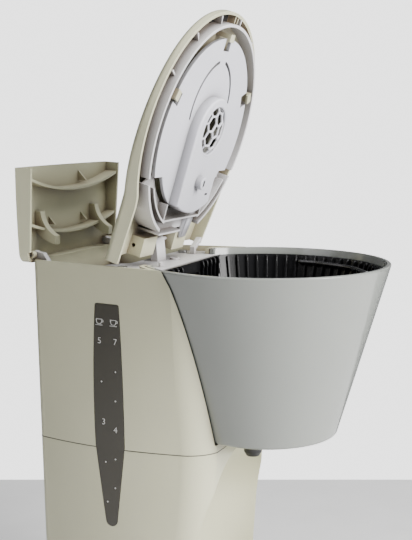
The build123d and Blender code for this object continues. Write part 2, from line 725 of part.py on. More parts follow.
FLOOR_TOP = -BUCKET_DEPTH + 2.5
with BuildPart() as outlet_seal:
    with BuildSketch(level(FLOOR_TOP)):
        with Locations((0, OUTLET_Y)):
            Circle(8)
            Circle(4.2, mode=Mode.SUBTRACT)
    extrude(amount=1.0)
outlet_seal.part.label = "outlet_seal"
export_step(outlet_seal.part, "parts/outlet_seal.step")

TIP_Z = -121.5
CUP_TOP = -113.0
with BuildPart() as drip_stop:
    with BuildSketch(front()):
        with BuildLine():
            Polyline((0, TIP_Z), (4.0, TIP_Z), (5.5, TIP_Z + 2.5), (6.0, CUP_TOP), (5.2, CUP_TOP),
                     (4.7, TIP_Z + 2.5), (2.4, TIP_Z + 2.5), (2.4, FLOOR_TOP + 1.3), (6.4, FLOOR_TOP + 1.3),
                     (6.4, FLOOR_TOP + 2.8), (0, FLOOR_TOP + 4.2), (0, TIP_Z))
        make_face()
    revolve(axis=FILTER_AXIS)
drip_stop_part = drip_stop.part.translate((0, OUTLET_Y, 0))
drip_stop_part.label = "drip_stop"
export_step(drip_stop_part, "parts/drip_stop.step")

SPRING_LOW = TIP_Z + 2.5
SPRING_PITCH = (BOSS_BOTTOM - SPRING_LOW - 0.7) / 5
with BuildPart() as drip_spring:
    with BuildLine(Plane(origin=at(0, OUTLET_Y, SPRING_LOW + 0.35))) as coil:
        Helix(SPRING_PITCH, 5 * SPRING_PITCH, 3.8)
    with BuildSketch(Plane(coil.line @ 0, z_dir=coil.line % 0)):
        Circle(0.35)
    sweep(is_frenet=True)
drip_spring.part.label = "drip_spring"
export_step(drip_spring.part, "parts/drip_spring.step")

# ---------------------------------------------------------------------------
# Deck and tank collar
# ---------------------------------------------------------------------------
DECK_TOP = -3.5
DECK_LOW = -6.0
POST_R = 1.9           # rounded head of the hinge post
with BuildPart() as top_deck:
    add(housing_outline(DECK_LOW, WALL + 0.4))
    extrude(amount=DECK_TOP - DECK_LOW)
    with Locations(at(0, 59.7, 0)):
        Box(200, 200, 40, align=(Align.CENTER, Align.MAX, Align.CENTER), mode=Mode.SUBTRACT)
    with Locations(at(0, 82, 0)):
        Box(200, 200, 40, align=(Align.CENTER, Align.MIN, Align.CENTER), mode=Mode.SUBTRACT)
    with BuildSketch(level(DECK_LOW)):
        with Locations((0, 56)):
            Rectangle(89, 8.6)
    extrude(amount=DECK_TOP - DECK_LOW)
    with Locations(at(0, 81, DECK_TOP)):
        Box(100, 2, 10, align=(Align.CENTER, Align.CENTER, Align.MAX))
    with BuildSketch(side(-4)):
        with BuildLine():
            Line((HINGE_Y - 3, DECK_TOP), (HINGE_Y - POST_R, HINGE_Z))
            ThreePointArc((HINGE_Y - POST_R, HINGE_Z), (HINGE_Y, HINGE_Z + POST_R),
                          (HINGE_Y + POST_R, HINGE_Z))
            Line((HINGE_Y + POST_R, HINGE_Z), (HINGE_Y + POST_R, DECK_TOP))
            Line((HINGE_Y + POST_R, DECK_TOP), (HINGE_Y - 3, DECK_TOP))
        make_face()
    extrude(amount=12)
    with BuildSketch(side(-22)):
        with Locations((HINGE_Y, HINGE_Z)):
            Circle(1.2)
    extrude(amount=48)
    with Locations(at(-25, 57.9, DECK_TOP)):
        Box(4, 1.5, 2.8, align=(Align.CENTER, Align.CENTER, Align.MIN))
    with BuildSketch(front(68)):
        with BuildLine():
            Polyline((40, DECK_TOP), (43, DECK_TOP), (43, -0.5), (52, 4.2), (52, 6.6), (50, 6.6),
                     (40, 1.2), (40, DECK_TOP))
        make_face()
    extrude(amount=3)
    with BuildSketch(level(DECK_LOW)):
        with Locations(SPOUT):
            Circle(5.1)
        with Locations((-44, 74), (46, 76)):
            Circle(1.6)
    extrude(amount=DECK_TOP - DECK_LOW, mode=Mode.SUBTRACT)
top_deck.part.label = "top_deck"
export_step(top_deck.part, "parts/top_deck.step")

with BuildPart() as deck_screws:
    with BuildSketch(level(DECK_TOP)):
        with Locations((-44, 74), (46, 76)):
            Circle(3)
    extrude(amount=1.6)
    with BuildSketch(level(DECK_LOW - 6)):
        with Locations((-44, 74), (46, 76)):
            Circle(1.5)
    extrude(amount=DECK_TOP - DECK_LOW + 6)
deck_screws.part.label = "deck_screws"
export_step(deck_screws.part, "parts/deck_screws.step")

with BuildPart() as riser_spout:
    with BuildSketch(level(-22)):
        with Locations(SPOUT):
            Circle(3.15)
    extrude(amount=22 - 2.2)
    with BuildSketch(level(DECK_LOW)):
        with Locations(SPOUT):
            Circle(5.0)
    extrude(amount=DECK_TOP - DECK_LOW)
    with BuildSketch(level(-22)):
        with Locations(SPOUT):
            Circle(2.0)
    extrude(amount=22, mode=Mode.SUBTRACT)
riser_spout.part.label = "riser_spout"
export_step(riser_spout.part, "parts/riser_spout.step")

COLLAR_TOP = -13.5
EAR_X = (-46.5, 42.5)
with BuildPart() as tank_collar:
    add(housing_outline(TANK_TOP + 0.3, WALL + 0.4))
    extrude(amount=COLLAR_TOP - TANK_TOP - 0.3)
    with Locations(at(0, 83, 0)):
        Box(200, 200, 80, align=(Align.CENTER, Align.MAX, Align.CENTER), mode=Mode.SUBTRACT)
    with BuildSketch(level(TANK_TOP)):
        with Locations((0, 104)):
            RectangleRounded(88, 36, 6)
    extrude(amount=6, mode=Mode.SUBTRACT)
    for ear_x in EAR_X:
        with BuildSketch(side(ear_x)) as ear:
            with BuildLine():
                Polyline((123.5, TANK_TOP + 0.3), (123.5, -1.5), (127, 3.6), (131.5, 4.4),
                         (133.0, 0.8), (129.6, 0.6), (128.6, -0.6), (128.6, TANK_TOP + 0.3),
                         (123.5, TANK_TOP + 0.3))
            make_face()
            with Locations((FLAP_Y, FLAP_Z)):
                Circle(2.3)
        extrude(amount=4)
    with BuildSketch(side(-60)):
        with Locations((FLAP_Y, FLAP_Z)):
            Circle(1.25)
    extrude(amount=120, mode=Mode.SUBTRACT)
tank_collar.part.label = "tank_collar"
export_step(tank_collar.part, "parts/tank_collar.step")


# ---------------------------------------------------------------------------
# Lid: drawn closed, then opened
# ---------------------------------------------------------------------------
def lid_outline(height, inset, back):
    """Round lid with a straight-sided neck that runs back to the hinge."""
    with BuildSketch(level(height)) as outline:
        Circle(LID_R - inset)
        neck_front = NECK_HALF + NECK_SPREAD * NECK_BACK - inset
        neck_back = neck_front - NECK_SPREAD * back
        with BuildLine():
            Polyline((0, 0), (neck_front, 0), (neck_back, back), (0, back))
            mirror(about=Plane.YZ)
        make_face()
        fillet(outline.vertices().filter_by_position(Axis.Y, 30, 50), radius=14)
    return outline.sketch


def lid_block(outline, sink):
    """Extrude an outline up to the lid's barrel-shaped top, lowered by sink."""
    with BuildPart() as block:
        add(outline)
        extrude(amount=40)
        barrel = Plane(origin=at(0, 0, LID_TOP - LID_CROWN_R), x_dir=(1, 0, 0), z_dir=(0, 1, LID_RISE))
        with Locations(barrel):
            Cylinder(LID_CROWN_R - sink, 400, mode=Mode.INTERSECT)
    return block.part


def crowned(outline, sink):
    """Extrude an outline up to the flap's crown, lowered by sink."""
    with BuildPart() as block:
        add(outline)
        extrude(amount=40)
        with Locations(at(0, CROWN_Y, CROWN_TOP - CROWN_R)):
            Sphere(CROWN_R - sink, mode=Mode.INTERSECT)
    return block.part


lid_hollow = lid_block(lid_outline(-8, LID_WALL, NECK_BACK + 8), 1.8)
with BuildPart() as lid_shell:
    add(lid_block(lid_outline(0.4, 0, NECK_BACK), 0))
    top_edges = lid_shell.edges().filter_by(lambda edge: edge.center().Z > RIM_Z + 3
                                            and edge.bounding_box().size.Y > 2)
    fillet(top_edges.filter_by_position(Axis.Y, FILTER_Y - 80, FILTER_Y + NECK_BACK - 0.5), radius=3.5)
    add(lid_hollow, mode=Mode.SUBTRACT)
    with BuildSketch(side(-80)):
        with BuildLine():
            Polyline((NECK_Y, 0.3), (NECK_BACK, 3.4), (NECK_BACK + 5, 3.4), (NECK_BACK + 5, -2),
                     (NECK_Y, -2), (NECK_Y, 0.3))
        make_face()
    extrude(amount=160, mode=Mode.SUBTRACT)
lid_shell_open = on_lid(lid_shell.part)
lid_shell_open.label = "lid_shell"
export_step(lid_shell_open, "parts/lid_shell.step")

RING_LOW = -3.2
TROUGH_R = 61.0
with BuildPart() as lid_frame:
    with BuildSketch(level(RING_LOW)):
        Circle(RING_R)
        Circle(RING_R - 1.8, mode=Mode.SUBTRACT)
        with Locations((0, 28)):
            Rectangle(160, 4, mode=Mode.SUBTRACT)
        with Locations((0, 80)):
            Rectangle(56, 60, mode=Mode.SUBTRACT)
    extrude(amount=30)
    with BuildSketch(level(-3.0)):
        Circle(TROUGH_R)
        Circle(TROUGH_R - 1.2, mode=Mode.SUBTRACT)
        Rectangle(160, 64, mode=Mode.SUBTRACT)
        with Locations((0, -60)):
            Rectangle(160, 120, mode=Mode.SUBTRACT)
        with Locations((0, 80)):
            Rectangle(48, 60, mode=Mode.SUBTRACT)
        with Locations((0, 54.5)):
            Rectangle(54, 1.2)
        with Locations((-12, 62.8)):
            Rectangle(30, 1.2)
        with Locations((-26, 49.2), (26, 49.2)):
            Rectangle(1.2, 11)
    extrude(amount=30)
    with BuildSketch(level(3.0)):
        with BuildLine():
            CenterArc((0, 0), RING_R - 1, 30, 120)
            Line((RING_R - 1) * Vector(cos(radians(150)), sin(radians(150))),
                 50 * Vector(cos(radians(150)), sin(radians(150))))
            CenterArc((0, 0), 50, 150, -120)
            Line(50 * Vector(cos(radians(30)), sin(radians(30))),
                 (RING_R - 1) * Vector(cos(radians(30)), sin(radians(30))))
        make_face()
        with Locations((0, 80)):
            Rectangle(160, 33, mode=Mode.SUBTRACT)
    extrude(amount=1.4)
    with BuildSketch(level(-0.5)):
        with PolarLocations(RING_R + 2.2, 5, start_angle=-150, angular_range=120):
            Rectangle(5.4, 1.2)
    extrude(amount=30)
    add(lid_hollow, mode=Mode.INTERSECT)
lid_frame_open = on_lid(lid_frame.part)
lid_frame_open.label = "lid_frame"
export_step(lid_frame_open, "parts/lid_frame.step")

CLIP_ANGLES = (-157, -90, -23)
left_slot = Edge.make_three_point_arc((-5, -43.3), (-20.5, -31.5), (-26, -9))
right_slot = Edge.make_three_point_arc((5, -43.3), (17, -35.5), (24.8, -19))
with BuildPart() as shower_plate:
    with BuildSketch(level(-2.0)) as plate_plan:
        Circle(PLATE_R)
        with Locations((0, 76)):
            Rectangle(160, 100, mode=Mode.SUBTRACT)
        Circle(PLATE_BACK_R)
        with Locations((0, GRILLE_Y)):
            Circle(19, mode=Mode.SUBTRACT)
        for angle in CLIP_ANGLES:
            with Locations(Location((54.5 * cos(radians(angle)), 54.5 * sin(radians(angle)), 0),
                                    (0, 0, angle))):
                Rectangle(8, 8, mode=Mode.SUBTRACT)
        SlotArc(left_slot, 2.0, mode=Mode.SUBTRACT)
        SlotArc(right_slot, 2.0, mode=Mode.SUBTRACT)
    extrude(amount=2.0)
shower_plate_open = on_lid(shower_plate.part)
shower_plate_open.label = "shower_plate"
export_step(shower_plate_open, "parts/shower_plate.step")


def boss_outline(height, inset, back):
    with BuildSketch(level(height)) as outline:
        Circle(BOSS_R - inset)
        with Locations((0, (back - inset) / 2)):
            Rectangle(2 * (BOSS_R - inset), back - inset)
        Circle(PLATE_BACK_R - inset, mode=Mode.INTERSECT)
    return outline.sketch


with BuildPart() as water_channel:
    add(boss_outline(BOSS_LOW, 0, 55))
    extrude(amount=-2 - BOSS_LOW)
    fillet(water_channel.edges().group_by(Axis.Z)[0], radius=1.2)
    add(boss_outline(BOSS_LOW + 1.8, 1.8, 55))
    extrude(amount=10, mode=Mode.SUBTRACT)
    with BuildSketch(level(BOSS_LOW)):
        with Locations((0, GRILLE_Y)):
            Circle(15.4)
        with Locations((15, 38)):
            Rectangle(4, 1.2)
        with Locations((-3, 29)):
            Circle(1.6)
    extrude(amount=3, mode=Mode.SUBTRACT)
water_channel_open = on_lid(water_channel.part)
water_channel_open.label = "water_channel"
export_step(water_channel_open, "parts/water_channel.step")

with BuildPart() as shower_grille:
    with BuildSketch(level(BOSS_LOW + 1.8)):
        with Locations((0, GRILLE_Y)):
            Circle(17)
            with HexLocations(2.9, 6, 5):
                RegularPolygon(2.5, 6, mode=Mode.SUBTRACT)
    extrude(amount=1.4)
shower_grille_open = on_lid(shower_grille.part)
shower_grille_open.label = "shower_grille"
export_step(shower_grille_open, "parts/shower_grille.step")

with BuildPart() as vent_nub:
    with BuildSketch(level(BOSS_LOW - 4.2)):
        with Locations((-3, 29)):
            Circle(4.0)
    extrude(amount=4.2)
    with BuildSketch(level(BOSS_LOW - 4.2)):
        with Locations((-3, 29)):
            SlotOverall(4.4, 2.2, rotation=90)
    extrude(amount=4.2, mode=Mode.SUBTRACT)
    fillet(vent_nub.faces().sort_by(Axis.Z)[0].outer_wire().edges(), radius=0.6)
vent_nub_open = on_lid(vent_nub.part)
vent_nub_open.label = "vent_nub"
export_step(vent_nub_open, "parts/vent_nub.step")

with BuildPart() as plate_clips:
    with BuildSketch(level(-2.6)):
        for angle in CLIP_ANGLES:
            with Locations(Location((59.6 * cos(radians(angle)), 59.6 * sin(radians(angle)), 0),
                                    (0, 0, angle))):
                Rectangle(2.6, 6)
    extrude(amount=30)
    with BuildSketch(level(-4.0)):
        for angle in CLIP_ANGLES:
            with Locations(Location((58.6 * cos(radians(angle)), 58.6 * sin(radians(angle)), 0),
                                    (0, 0, angle))):
                Rectangle(4.6, 6)
    extrude(amount=1.6)
    add(lid_hollow, mode=Mode.INTERSECT)
plate_clips_open = on_lid(plate_clips.part)
plate_clips_open.label = "plate_clips"
export_step(plate_clips_open, "parts/plate_clips.step")

with BuildPart() as lid_brackets:
    for bracket_x in (-31, 13):
        with BuildSketch(side(bracket_x)):
            with Locations((HINGE_Y, 11)):
                Rectangle(12, 15)
            with Locations((HINGE_Y, HINGE_Z)):
                Circle(1.25, mode=Mode.SUBTRACT)
        extrude(amount=18)
    add(lid_hollow, mode=Mode.INTERSECT)
lid_brackets_open = on_lid(lid_brackets.part)
lid_brackets_open.label = "lid_brackets"
export_step(lid_brackets_open, "parts/lid_brackets.step")


# ---------------------------------------------------------------------------
# Tank flap: drawn closed, then opened
# ---------------------------------------------------------------------------
def flap_outline(height, inset, front_y):
    with BuildSketch(level(height)) as outline:
        with BuildLine():
            Polyline((0, front_y), (FLAP_HALF - inset, front_y), (FLAP_HALF - 1.5 - inset, FLAP_BACK - inset),
                     (0, FLAP_BACK - inset))
            mirror(about=Plane.YZ)
        make_face()
        fillet(outline.vertices().group_by(Axis.Y)[-1], radius=6 - inset)
    return outline.sketch


flap_hollow = crowned(flap_outline(-6, 1.8, FLAP_FRONT - 4), 2.0)
with BuildPart() as tank_flap:
    add(crowned(flap_outline(0.9, 0, FLAP_FRONT), 0))
    add(flap_hollow, mode=Mode.SUBTRACT)
    with Locations(at(0, FLAP_Y - 2, 2.4)):
        Box(140, 10, 10, align=(Align.CENTER, Align.MIN, Align.MAX), mode=Mode.SUBTRACT)
tank_flap_open = on_flap(tank_flap.part)
tank_flap_open.label = "tank_flap"
export_step(tank_flap_open, "parts/tank_flap.step")

with BuildPart() as flap_arms:
    for arm_x in (-36.5, 31.5):
        with BuildSketch(side(arm_x)):
            with BuildLine():
                Line((108, 12), (116, 12))
                ThreePointArc((116, 12), (125, 2), (127.5, -12))
                Line((127.5, -12), (123.5, -12))
                ThreePointArc((123.5, -12), (120, -2), (108, 5.5))
                Line((108, 5.5), (108, 12))
            make_face()
        extrude(amount=5)
    for knuckle_x in (-50.5, 47.0):
        with BuildSketch(side(knuckle_x)):
            with Locations((FLAP_Y, FLAP_Z)):
                Circle(2.3)
            with Locations((FLAP_Y, FLAP_Z + 4.5)):
                Rectangle(4.6, 9)
            with Locations((FLAP_Y, FLAP_Z)):
                Circle(1.2, mode=Mode.SUBTRACT)
        extrude(amount=3.5)
    add(flap_hollow, mode=Mode.INTERSECT)
flap_arms_open = on_flap(flap_arms.part)
flap_arms_open.label = "flap_arms"
export_step(flap_arms_open, "parts/flap_arms.step")

FLAP_RIB_R = 186.0
with BuildPart() as flap_ribs:
    for middle_y in (96.0, 123.0):
        with BuildSketch(level(1.6)):
            with Locations((0, middle_y - FLAP_RIB_R)):
                Circle(FLAP_RIB_R)
                Circle(FLAP_RIB_R - 1.6, mode=Mode.SUBTRACT)
            with Locations((0, -120)):
                Rectangle(800, 410, mode=Mode.SUBTRACT)
        extrude(amount=30)
    add(flap_hollow, mode=Mode.INTERSECT)
    add(flap_arms.part, mode=Mode.SUBTRACT)
flap_ribs_open = on_flap(flap_ribs.part)
flap_ribs_open.label = "flap_ribs"
export_step(flap_ribs_open, "parts/flap_ribs.step")

with BuildPart() as flap_pins:
    with BuildSketch(side(-50.3)):
        with Locations((FLAP_Y, FLAP_Z)):
            Circle(1.2)
    extrude(amount=7.6)
    with BuildSketch(side(42.7)):
        with Locations((FLAP_Y, FLAP_Z)):
            Circle(1.2)
    extrude(amount=7.6)
flap_pins_open = on_flap(flap_pins.part)
flap_pins_open.label = "flap_pins"
export_step(flap_pins_open, "parts/flap_pins.step")
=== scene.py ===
import json
from math import cos, pi, radians, sin

import bmesh
import bpy
from mathutils import Matrix, Vector
from mathutils.bvhtree import BVHTree


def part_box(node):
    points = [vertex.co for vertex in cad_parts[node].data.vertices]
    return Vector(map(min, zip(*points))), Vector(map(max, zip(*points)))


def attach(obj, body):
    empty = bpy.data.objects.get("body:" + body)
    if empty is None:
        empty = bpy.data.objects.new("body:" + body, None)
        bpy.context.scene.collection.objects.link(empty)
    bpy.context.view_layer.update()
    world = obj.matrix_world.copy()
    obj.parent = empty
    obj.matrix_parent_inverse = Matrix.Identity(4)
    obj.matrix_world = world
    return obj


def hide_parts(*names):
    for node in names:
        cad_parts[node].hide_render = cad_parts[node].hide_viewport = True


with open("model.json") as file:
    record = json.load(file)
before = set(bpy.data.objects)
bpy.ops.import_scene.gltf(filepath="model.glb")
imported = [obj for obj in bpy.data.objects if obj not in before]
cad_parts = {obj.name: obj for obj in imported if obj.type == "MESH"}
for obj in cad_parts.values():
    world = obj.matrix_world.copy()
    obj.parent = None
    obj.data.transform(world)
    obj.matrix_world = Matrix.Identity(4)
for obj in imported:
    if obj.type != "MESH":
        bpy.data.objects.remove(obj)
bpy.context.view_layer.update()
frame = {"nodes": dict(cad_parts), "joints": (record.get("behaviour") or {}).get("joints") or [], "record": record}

MM = 0.001

# ---------------------------------------------------------------------------
# Camera, floor and light
# ---------------------------------------------------------------------------
CAMERA_PLACE = Vector((-0.6165, -0.2631, 0.3465))
CAMERA_AIM = Vector((0.9087, 0.3946, -0.1358))
CAMERA_LENS = 73.33     # mm, on a sensor 36 mm wide
FLOOR_DEPTH = 1.03      # the pale floor ends this far in front of the camera
FLOOR_HALF = 3          # half width of the floor, and how far it runs behind the camera


def link(obj):
    bpy.context.scene.collection.objects.link(obj)
    return obj


def make_camera():
    data = bpy.data.cameras.new("camera")
    data.lens = CAMERA_LENS
    data.sensor_width = 36.0
    camera = link(bpy.data.objects.new("camera", data))
    camera.location = CAMERA_PLACE
    camera.rotation_euler = CAMERA_AIM.to_track_quat("-Z", "Y").to_euler()
    bpy.context.scene.camera = camera


def area_light(name, place, target, size, power, colour):
    data = bpy.data.lights.new(name, "AREA")
    data.shape = "RECTANGLE"
    data.size, data.size_y = size
    data.energy = power
    data.color = colour
    lamp = link(bpy.data.objects.new(name, data))
    lamp.location = place
    lamp.rotation_euler = (Vector(target) - Vector(place)).to_track_quat("-Z", "Y").to_euler()


def make_stage():
    """Pale floor, even backdrop, fill light that is stronger from the front, and two soft lamps."""
    ahead = Vector((CAMERA_AIM.x, CAMERA_AIM.y, 0)).normalized()
    across = Vector((-ahead.y, ahead.x, 0))
    foot = Vector((CAMERA_PLACE.x, CAMERA_PLACE.y, 0))
    corners = [foot + ahead * deep + across * wide
               for deep, wide in ((-FLOOR_HALF, -FLOOR_HALF), (FLOOR_DEPTH, -FLOOR_HALF),
                                  (FLOOR_DEPTH, FLOOR_HALF), (-FLOOR_HALF, FLOOR_HALF))]
    mesh = bpy.data.meshes.new("studio_floor")
    mesh.from_pydata(corners, [], [(0, 3, 2, 1)])
    floor = link(bpy.data.objects.new("studio_floor", mesh))
    # The floor's second colour is painted shadow, taken where it lies close to the machine.
    mesh.materials.append(plastic("floor_paper", (0.92, 0.92, 0.92), (0.88, 0.88, 0.88), 0.7, 0.02, 300))

    world = bpy.data.worlds.new("studio")
    bpy.context.scene.world = world
    world.use_nodes = True
    nodes, links = world.node_tree.nodes, world.node_tree.links
    backdrop = nodes["Background"]
    backdrop.inputs["Color"].default_value = (1, 1, 1, 1)
    backdrop.inputs["Strength"].default_value = 2.7
    fill = nodes.new("ShaderNodeBackground")
    fill.inputs["Color"].default_value = (0.95, 0.97, 1.0, 1)
    facing = nodes.new("ShaderNodeTexCoord")
    split = nodes.new("ShaderNodeSeparateXYZ")
    shade = nodes.new("ShaderNodeMapRange")
    shade.inputs["From Min"].default_value = -0.9
    shade.inputs["From Max"].default_value = 0.8
    shade.inputs["To Min"].default_value = 0.42
    shade.inputs["To Max"].default_value = 0.05
    links.new(facing.outputs["Generated"], split.inputs["Vector"])
    links.new(split.outputs["Y"], shade.inputs["Value"])
    links.new(shade.outputs["Result"], fill.inputs["Strength"])
    path = nodes.new("ShaderNodeLightPath")
    mix = nodes.new("ShaderNodeMixShader")
    links.new(path.outputs["Is Camera Ray"], mix.inputs["Fac"])
    links.new(fill.outputs["Background"], mix.inputs[1])
    links.new(backdrop.outputs["Background"], mix.inputs[2])
    links.new(mix.outputs["Shader"], nodes["World Output"].inputs["Surface"])

    area_light("key", (-0.22, -1.35, 0.80), (0, 0, 0.26), (0.8, 0.9), 46, (1.0, 0.99, 0.98))
    area_light("top", (0.10, -0.40, 1.5), (0, 0, 0.25), (0.8, 0.8), 12, (1, 1, 1))


# ---------------------------------------------------------------------------
# Materials
# ---------------------------------------------------------------------------
def plastic(name, light, deep, rough, bump, grain, coat=0.0, metal=0.0, clear=0.0, shine=0.5):
    """Moulded surface: cloudy tone, painted shade darkening the hollows, fine mould grain and uneven gloss."""
    mat = bpy.data.materials.new(name)
    mat.use_nodes = True
    nodes, links = mat.node_tree.nodes, mat.node_tree.links
    shader = nodes["Principled BSDF"]
    place = nodes.new("ShaderNodeTexCoord")

    cloud = nodes.new("ShaderNodeTexNoise")
    cloud.inputs["Scale"].default_value = 22
    cloud.inputs["Detail"].default_value = 5
    links.new(place.outputs["Object"], cloud.inputs["Vector"])
    tone = nodes.new("ShaderNodeValToRGB")
    tone.color_ramp.elements[0].position = 0.3
    tone.color_ramp.elements[0].color = (*[0.955 * part for part in light], 1)
    tone.color_ramp.elements[1].position = 0.7
    tone.color_ramp.elements[1].color = (*light, 1)
    links.new(cloud.outputs["Fac"], tone.inputs["Fac"])

    # Painted shade: ambient occlusion mixes the colour toward deep in corners, recesses and between parts.
    painted_shade_ao = nodes.new("ShaderNodeAmbientOcclusion")
    painted_shade_ao.samples = 6
    painted_shade_ao.inputs["Distance"].default_value = 12 * MM
    reach = nodes.new("ShaderNodeMapRange")
    reach.inputs["From Min"].default_value = 0.30
    reach.inputs["From Max"].default_value = 0.92
    links.new(painted_shade_ao.outputs["AO"], reach.inputs["Value"])
    mix = nodes.new("ShaderNodeMix")
    mix.data_type = "RGBA"
    mix.inputs["A"].default_value = (*deep, 1)
    links.new(reach.outputs["Result"], mix.inputs["Factor"])
    links.new(tone.outputs["Color"], mix.inputs["B"])
    links.new(mix.outputs["Result"], shader.inputs["Base Color"])

    smear = nodes.new("ShaderNodeTexNoise")
    smear.inputs["Scale"].default_value = 65
    smear.inputs["Detail"].default_value = 3
    links.new(place.outputs["Object"], smear.inputs["Vector"])
    gloss = nodes.new("ShaderNodeMapRange")
    gloss.inputs["To Min"].default_value = 0.85 * rough
    gloss.inputs["To Max"].default_value = min(1.0, 1.2 * rough)
    links.new(smear.outputs["Fac"], gloss.inputs["Value"])
    links.new(gloss.outputs["Result"], shader.inputs["Roughness"])

    pores = nodes.new("ShaderNodeTexNoise")
    pores.inputs["Scale"].default_value = grain
    pores.inputs["Detail"].default_value = 2
    links.new(place.outputs["Object"], pores.inputs["Vector"])
    relief = nodes.new("ShaderNodeBump")
    relief.inputs["Strength"].default_value = bump
    relief.inputs["Distance"].default_value = 0.2 * MM
    links.new(pores.outputs["Fac"], relief.inputs["Height"])
    soft_edge = nodes.new("ShaderNodeBevel")
    soft_edge.samples = 4
    soft_edge.inputs["Radius"].default_value = 0.35 * MM
    links.new(soft_edge.outputs["Normal"], relief.inputs["Normal"])
    links.new(relief.outputs["Normal"], shader.inputs["Normal"])

    shader.inputs["Metallic"].default_value = metal
    shader.inputs["Specular IOR Level"].default_value = shine
    shader.inputs["Coat Weight"].default_value = coat
    shader.inputs["Coat Roughness"].default_value = 0.06
    shader.inputs["Transmission Weight"].default_value = clear
    return mat


def make_finishes():
    """One material for each of the record's slots."""
    # In each call the second colour is the painted shade that fills the hollows and the gaps between parts.
    return {
        "body": plastic("ivory_plastic", (0.70, 0.685, 0.48), (0.22, 0.17, 0.115), 0.30, 0.05, 1400, 0.25),
        "bucket": plastic("grey_gloss", (0.30, 0.315, 0.29), (0.08, 0.084, 0.076), 0.14, 0.03, 900, 0.6),
        "insert": plastic("black_gloss", (0.008, 0.008, 0.009), (0.003, 0.003, 0.003), 0.22, 0.05, 1200,
                          shine=0.25),
        "inner_grey": plastic("lavender_plastic", (0.78, 0.78, 0.84), (0.12, 0.115, 0.11), 0.38, 0.05, 1500),
        "white_plastic": plastic("white_plastic", (0.80, 0.79, 0.80), (0.12, 0.10, 0.085), 0.34, 0.05, 1500),
        "black_plastic": plastic("black_satin", (0.03, 0.03, 0.032), (0.01, 0.01, 0.01), 0.5, 0.12, 1800),
        "window": plastic("smoke_window", (0.050, 0.044, 0.030), (0.02, 0.018, 0.014), 0.12, 0.01, 600, 0.4),
        "tank": plastic("frosted_tank", (0.70, 0.71, 0.70), (0.30, 0.30, 0.29), 0.45, 0.06, 1200, clear=0.25),
        "hotplate_coat": plastic("hotplate_coat", (0.04, 0.04, 0.042), (0.02, 0.02, 0.02), 0.42, 0.35, 2600),
        "aluminium": plastic("aluminium", (0.72, 0.73, 0.74), (0.4, 0.4, 0.4), 0.35, 0.12, 2200, metal=1.0),
        "steel": plastic("plated_steel", (0.62, 0.62, 0.63), (0.3, 0.3, 0.3), 0.28, 0.08, 2600, metal=1.0),
        "brass": plastic("brass", (0.78, 0.60, 0.28), (0.4, 0.3, 0.12), 0.3, 0.08, 2200, metal=1.0),
        "silicone": plastic("milky_silicone", (0.80, 0.79, 0.75), (0.4, 0.38, 0.35), 0.5, 0.08, 900,
                            clear=0.15),
        "rubber": plastic("black_rubber", (0.035, 0.035, 0.035), (0.015, 0.015, 0.015), 0.8, 0.25, 1600),
        "bail": plastic("bail_black", (0.02, 0.02, 0.021), (0.01, 0.01, 0.01), 0.2, 0.04, 1200, 0.3),
    }


make_camera()
make_stage()
finishes = make_finishes()
slot_of = {part["node"]: part["material_slot"] for part in frame["record"]["subparts"]}
for node_name, node in frame["nodes"].items():
    node.data.materials.clear()
    node.data.materials.append(finishes[slot_of[node_name]])

# ---------------------------------------------------------------------------
# Places: heights are measured from the bucket's rim, depths from its axis
# ---------------------------------------------------------------------------
bucket_low, bucket_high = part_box("filter_bucket")
RIM_Z = bucket_high.z
RIM_R = (bucket_high.x - bucket_low.x) / 2
FILTER_Y = bucket_low.y + RIM_R
joints = {joint["name"]: joint for joint in frame["joints"]}
finishes["ink"] = plastic("scale_ink", (0.75, 0.74, 0.70), (0.5, 0.5, 0.48), 0.5, 0.05, 1500)


def at(x, y, z):
    """A point given in mm from the bucket's axis and rim."""
    return Vector((x * MM, FILTER_Y + y * MM, RIM_Z + z * MM))


def opened(joint_name, angle):
    """The turn that takes a piece drawn closed to its open rest position."""
    pivot = Matrix.Translation(Vector(joints[joint_name]["pos_m"]))
    return pivot @ Matrix.Rotation(-radians(angle), 4, "X") @ pivot.inverted()


LID_OPEN = 73.06         # degrees at rest
FLAP_OPEN = 87.0
LID = opened("lid_hinge", LID_OPEN)
FLAP = opened("flap_hinge", FLAP_OPEN)
STILL = Matrix.Identity(4)


def mesh_piece(name, build, turn, body, slot, smooth=True):
    """A piece made by a bmesh function, turned to its rest place."""
    mesh = bpy.data.meshes.new(name)
    bm = bmesh.new()
    build(bm)
    bmesh.ops.transform(bm, matrix=turn, verts=bm.verts)
    bmesh.ops.recalc_face_normals(bm, faces=bm.faces)
    bm.to_mesh(mesh)
    bm.free()
    mesh.polygons.foreach_set("use_smooth", [smooth] * len(mesh.polygons))
    mesh.materials.append(finishes[slot])
    piece = link(bpy.data.objects.new(name, mesh))
    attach(piece, body)
    return piece


def tubes(name, runs, radius, turn, body, slot, closed=False):
    """Round bars along lists of points, as one mesh."""
    curve = bpy.data.curves.new(name, "CURVE")
    curve.dimensions = "3D"
    curve.bevel_depth = radius
    curve.bevel_resolution = 3
    curve.use_fill_caps = True
    for run in runs:
        spline = curve.splines.new("POLY")
        spline.points.add(len(run) - 1)
        for point, spot in zip(spline.points, run):
            point.co = (*(turn @ spot), 1)
        spline.use_cyclic_u = closed
    shape = bpy.data.objects.new(name + "_curve", curve)
    mesh = bpy.data.meshes.new_from_object(shape)
    bpy.data.objects.remove(shape)
    mesh.name = name
    mesh.polygons.foreach_set("use_smooth", [True] * len(mesh.polygons))
    mesh.materials.clear()
    mesh.materials.append(finishes[slot])
    piece = link(bpy.data.objects.new(name, mesh))
    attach(piece, body)
    return piece


